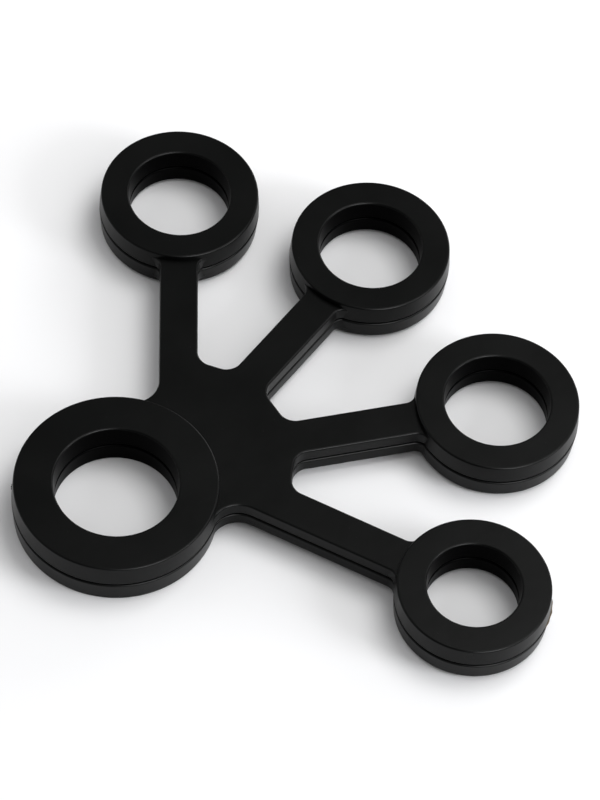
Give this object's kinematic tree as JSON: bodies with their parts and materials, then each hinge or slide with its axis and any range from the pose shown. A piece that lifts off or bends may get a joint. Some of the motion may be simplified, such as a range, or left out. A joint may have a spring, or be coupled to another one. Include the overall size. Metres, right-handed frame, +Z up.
{
  "type": "finger exerciser",
  "caption": "Soft one-hand finger exerciser: a thumb loop on a palm web, and finger loops on stretchy straps that pull against an opening hand.",
  "frame": {"origin": "centre of the thumb hole, on the parting plane at half thickness", "axes": "+Y from the thumb loop towards the finger loops, +X towards the little finger's loop, +Z up out of the upper face"},
  "size_m": [0.151, 0.1204, 0.0112],
  "materials": {
    "black_silicone": "matte black moulded silicone with a fine satin surface"
  },
  "bodies": {
    "palm": {"palm_web_upper": "black_silicone", "palm_web_lower": "black_silicone", "thumb_neck_upper": "black_silicone", "thumb_neck_lower": "black_silicone"},
    "thumb_loop": {"thumb_loop_upper": "black_silicone", "thumb_loop_lower": "black_silicone"},
    "index_strap_root": {"index_strap_root_upper": "black_silicone", "index_strap_root_lower": "black_silicone"},
    "index_strap_tip": {"index_strap_tip_upper": "black_silicone", "index_strap_tip_lower": "black_silicone"},
    "index_loop": {"index_loop_upper": "black_silicone", "index_loop_lower": "black_silicone"},
    "middle_strap_root": {"middle_strap_root_upper": "black_silicone", "middle_strap_root_lower": "black_silicone"},
    "middle_strap_tip": {"middle_strap_tip_upper": "black_silicone", "middle_strap_tip_lower": "black_silicone"},
    "middle_loop": {"middle_loop_upper": "black_silicone", "middle_loop_lower": "black_silicone"},
    "ring_finger_strap_root": {"ring_finger_strap_root_upper": "black_silicone", "ring_finger_strap_root_lower": "black_silicone"},
    "ring_finger_strap_tip": {"ring_finger_strap_tip_upper": "black_silicone", "ring_finger_strap_tip_lower": "black_silicone"},
    "ring_finger_loop": {"ring_finger_loop_upper": "black_silicone", "ring_finger_loop_lower": "black_silicone"},
    "little_strap_root": {"little_strap_root_upper": "black_silicone", "little_strap_root_lower": "black_silicone"},
    "little_strap_tip": {"little_strap_tip_upper": "black_silicone", "little_strap_tip_lower": "black_silicone"},
    "little_loop": {"little_loop_upper": "black_silicone", "little_loop_lower": "black_silicone"}
  },
  "joints": [
    {"name": "thumb_flex", "type": "hinge", "parent": "palm", "child": "thumb_loop", "pos_m": [0, 0.0185, 0], "axis": [-1, 0, 0], "range_deg": [-20, 20], "stiffness_Nm_per_rad": 0.1, "deforming": ["thumb_neck_upper", "thumb_neck_lower"]},
    {"name": "index_lift", "type": "hinge", "parent": "palm", "child": "index_strap_root", "pos_m": [-0.02705, 0.0321, 0], "axis": [0.5299, 0.848, 0], "range_deg": [-45, 45], "stiffness_Nm_per_rad": 0.02, "deforming": ["index_strap_root_upper", "index_strap_root_lower"]},
    {"name": "index_stretch", "type": "slide", "parent": "index_strap_root", "child": "index_strap_tip", "axis": [-0.848, 0.5299, 0], "range_m": [0, 0.022], "stiffness_N_per_m": 600, "deforming": ["index_strap_tip_upper", "index_strap_tip_lower"]},
    {"name": "index_tilt", "type": "hinge", "parent": "index_strap_tip", "child": "index_loop", "pos_m": [-0.03808, 0.03899, 0], "axis": [-0.5299, -0.848, 0], "range_deg": [-45, 45], "stiffness_Nm_per_rad": 0.02},
    {"name": "middle_lift", "type": "hinge", "parent": "palm", "child": "middle_strap_root", "pos_m": [-0.01139, 0.0452, 0], "axis": [0.9348, 0.3551, 0], "range_deg": [-45, 45], "stiffness_Nm_per_rad": 0.02, "deforming": ["middle_strap_root_upper", "middle_strap_root_lower"]},
    {"name": "middle_stretch", "type": "slide", "parent": "middle_strap_root", "child": "middle_strap_tip", "axis": [-0.3551, 0.9348, 0], "range_m": [0, 0.022], "stiffness_N_per_m": 600, "deforming": ["middle_strap_tip_upper", "middle_strap_tip_lower"]},
    {"name": "middle_tilt", "type": "hinge", "parent": "middle_strap_tip", "child": "middle_loop", "pos_m": [-0.01623, 0.05793, 0], "axis": [-0.9348, -0.3551, 0], "range_deg": [-45, 45], "stiffness_Nm_per_rad": 0.02},
    {"name": "ring_finger_lift", "type": "hinge", "parent": "palm", "child": "ring_finger_strap_root", "pos_m": [0.01084, 0.04546, 0], "axis": [0.9415, -0.3371, 0], "range_deg": [-45, 45], "stiffness_Nm_per_rad": 0.02, "deforming": ["ring_finger_strap_root_upper", "ring_finger_strap_root_lower"]},
    {"name": "ring_finger_stretch", "type": "slide", "parent": "ring_finger_strap_root", "child": "ring_finger_strap_tip", "axis": [0.3371, 0.9415, 0], "range_m": [0, 0.022], "stiffness_N_per_m": 600, "deforming": ["ring_finger_strap_tip_upper", "ring_finger_strap_tip_lower"]},
    {"name": "ring_finger_tilt", "type": "hinge", "parent": "ring_finger_strap_tip", "child": "ring_finger_loop", "pos_m": [0.01549, 0.05847, 0], "axis": [-0.9415, 0.3371, 0], "range_deg": [-45, 45], "stiffness_Nm_per_rad": 0.02},
    {"name": "little_lift", "type": "hinge", "parent": "palm", "child": "little_strap_root", "pos_m": [0.02766, 0.03182, 0], "axis": [0.515, -0.8572, 0], "range_deg": [-45, 45], "stiffness_Nm_per_rad": 0.02, "deforming": ["little_strap_root_upper", "little_strap_root_lower"]},
    {"name": "little_stretch", "type": "slide", "parent": "little_strap_root", "child": "little_strap_tip", "axis": [0.8572, 0.515, 0], "range_m": [0, 0.022], "stiffness_N_per_m": 600, "deforming": ["little_strap_tip_upper", "little_strap_tip_lower"]},
    {"name": "little_tilt", "type": "hinge", "parent": "little_strap_tip", "child": "little_loop", "pos_m": [0.03984, 0.03914, 0], "axis": [-0.515, 0.8572, 0], "range_deg": [-45, 45], "stiffness_Nm_per_rad": 0.02}
  ]
}
